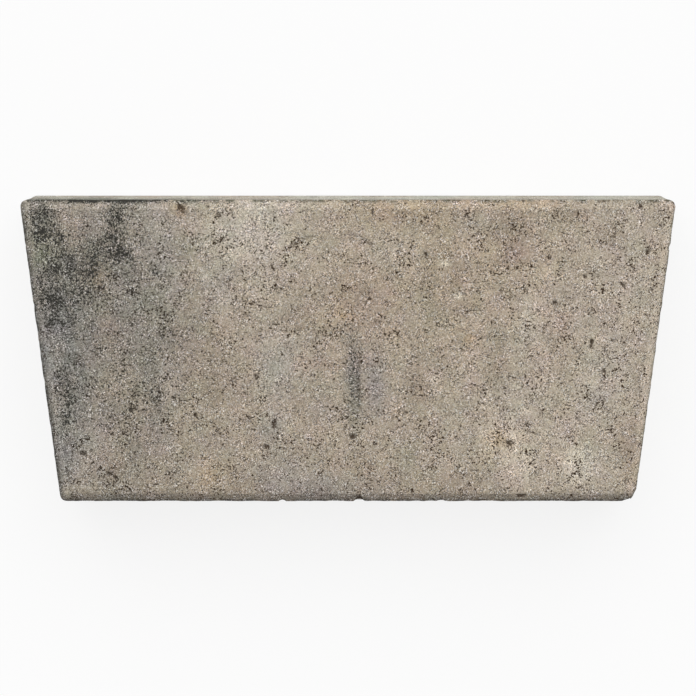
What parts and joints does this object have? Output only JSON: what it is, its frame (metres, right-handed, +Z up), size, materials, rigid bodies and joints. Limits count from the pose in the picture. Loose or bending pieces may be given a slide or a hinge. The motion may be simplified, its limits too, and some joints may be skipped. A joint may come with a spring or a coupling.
{
  "type": "mowing edge stone",
  "caption": "Flat wedge-shaped concrete stone with round upright corners and a chamfered top face, laid in rows or curves along a lawn so that a mower wheel can run on it.",
  "frame": {"origin": "centre of the bed, halfway between the long and the short side", "axes": "+X along the long side, +Y towards the long side, +Z up out of the running face"},
  "size_m": [0.2592, 0.12, 0.045],
  "materials": {
    "concrete": "pressed concrete, rough and matt, warm grey with a charcoal shade at one end"
  },
  "bodies": {
    "root": {"edge_stone": "concrete"}
  },
  "joints": []
}
